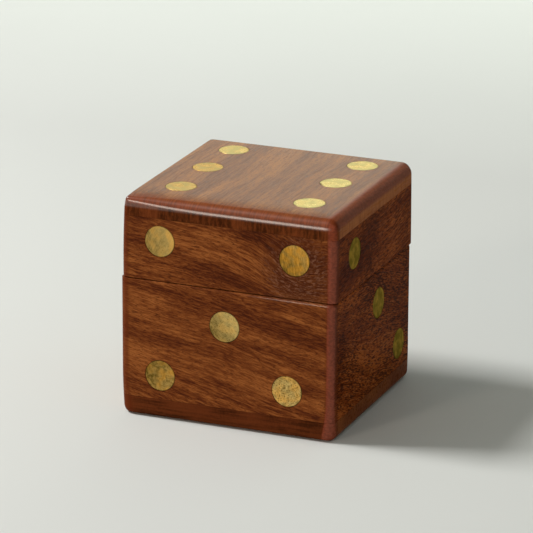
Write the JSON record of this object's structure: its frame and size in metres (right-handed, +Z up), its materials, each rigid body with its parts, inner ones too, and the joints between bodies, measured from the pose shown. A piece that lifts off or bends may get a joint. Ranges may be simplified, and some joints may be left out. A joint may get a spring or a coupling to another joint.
{
  "type": "dice box",
  "caption": "Cube-shaped wooden dice box finished as a large playing die, with inlaid brass pips and a lift-off lid that drops over an inner liner.",
  "frame": {"origin": "middle of the underside that the box stands on", "axes": "+X to the right along the front that shows five pips, -Y out of that front, +Z up"},
  "size_m": [0.076, 0.073, 0.076],
  "materials": {
    "panel_wood": "polished hardwood panel, brown with fine dark figure, grain from front to back",
    "wall_wood": "polished red-brown hardwood wall, grain along the wall, dark pores",
    "liner_wood": "unpolished hardwood strip, sanded",
    "brass": "sanded flush, lightly tarnished brass"
  },
  "bodies": {
    "base": {"base_bottom_panel": "panel_wood", "base_front_wall": "wall_wood", "base_right_wall": "wall_wood", "base_back_wall": "wall_wood", "base_left_wall": "wall_wood", "liner_front": "liner_wood", "liner_right": "liner_wood", "liner_back": "liner_wood", "liner_left": "liner_wood", "pip_front_3": "brass", "pip_front_4": "brass", "pip_front_5": "brass", "pip_right_2": "brass", "pip_right_3": "brass", "pip_left_3": "brass", "pip_left_4": "brass", "pip_back_2": "brass", "pip_bottom_1": "brass"},
    "lid": {"lid_top_panel": "panel_wood", "lid_front_wall": "wall_wood", "lid_right_wall": "wall_wood", "lid_back_wall": "wall_wood", "lid_left_wall": "wall_wood", "pip_top_1": "brass", "pip_top_2": "brass", "pip_top_3": "brass", "pip_top_4": "brass", "pip_top_5": "brass", "pip_top_6": "brass", "pip_front_1": "brass", "pip_front_2": "brass", "pip_right_1": "brass", "pip_left_1": "brass", "pip_left_2": "brass", "pip_back_1": "brass"}
  },
  "joints": [
    {"name": "lid_lift", "type": "slide", "parent": "base", "child": "lid", "axis": [0, 0, 1], "range_m": [0, 0.06]}
  ]
}
